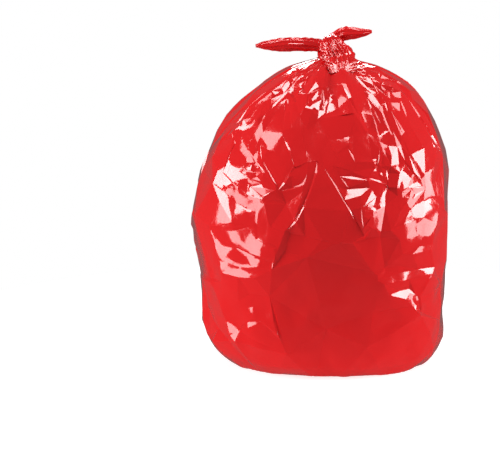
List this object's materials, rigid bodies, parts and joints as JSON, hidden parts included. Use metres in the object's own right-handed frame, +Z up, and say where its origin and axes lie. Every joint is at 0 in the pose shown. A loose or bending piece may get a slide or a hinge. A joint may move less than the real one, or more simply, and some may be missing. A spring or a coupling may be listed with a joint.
{
  "type": "filled and tied bin bag",
  "caption": "Filled refuse sack of glossy red plastic film, gathered and tied at the neck in a knot with two tails, resting on its flattened base.",
  "frame": {"origin": "on the floor, at the middle of the sack's box", "axes": "+Z up, +X to the right of the picture's view, -Y towards the picture's camera"},
  "size_m": [0.4804, 0.4384, 0.628],
  "materials": {
    "red_film": "glossy"
  },
  "bodies": {
    "root": {"bin_bag": "red_film"}
  },
  "joints": []
}
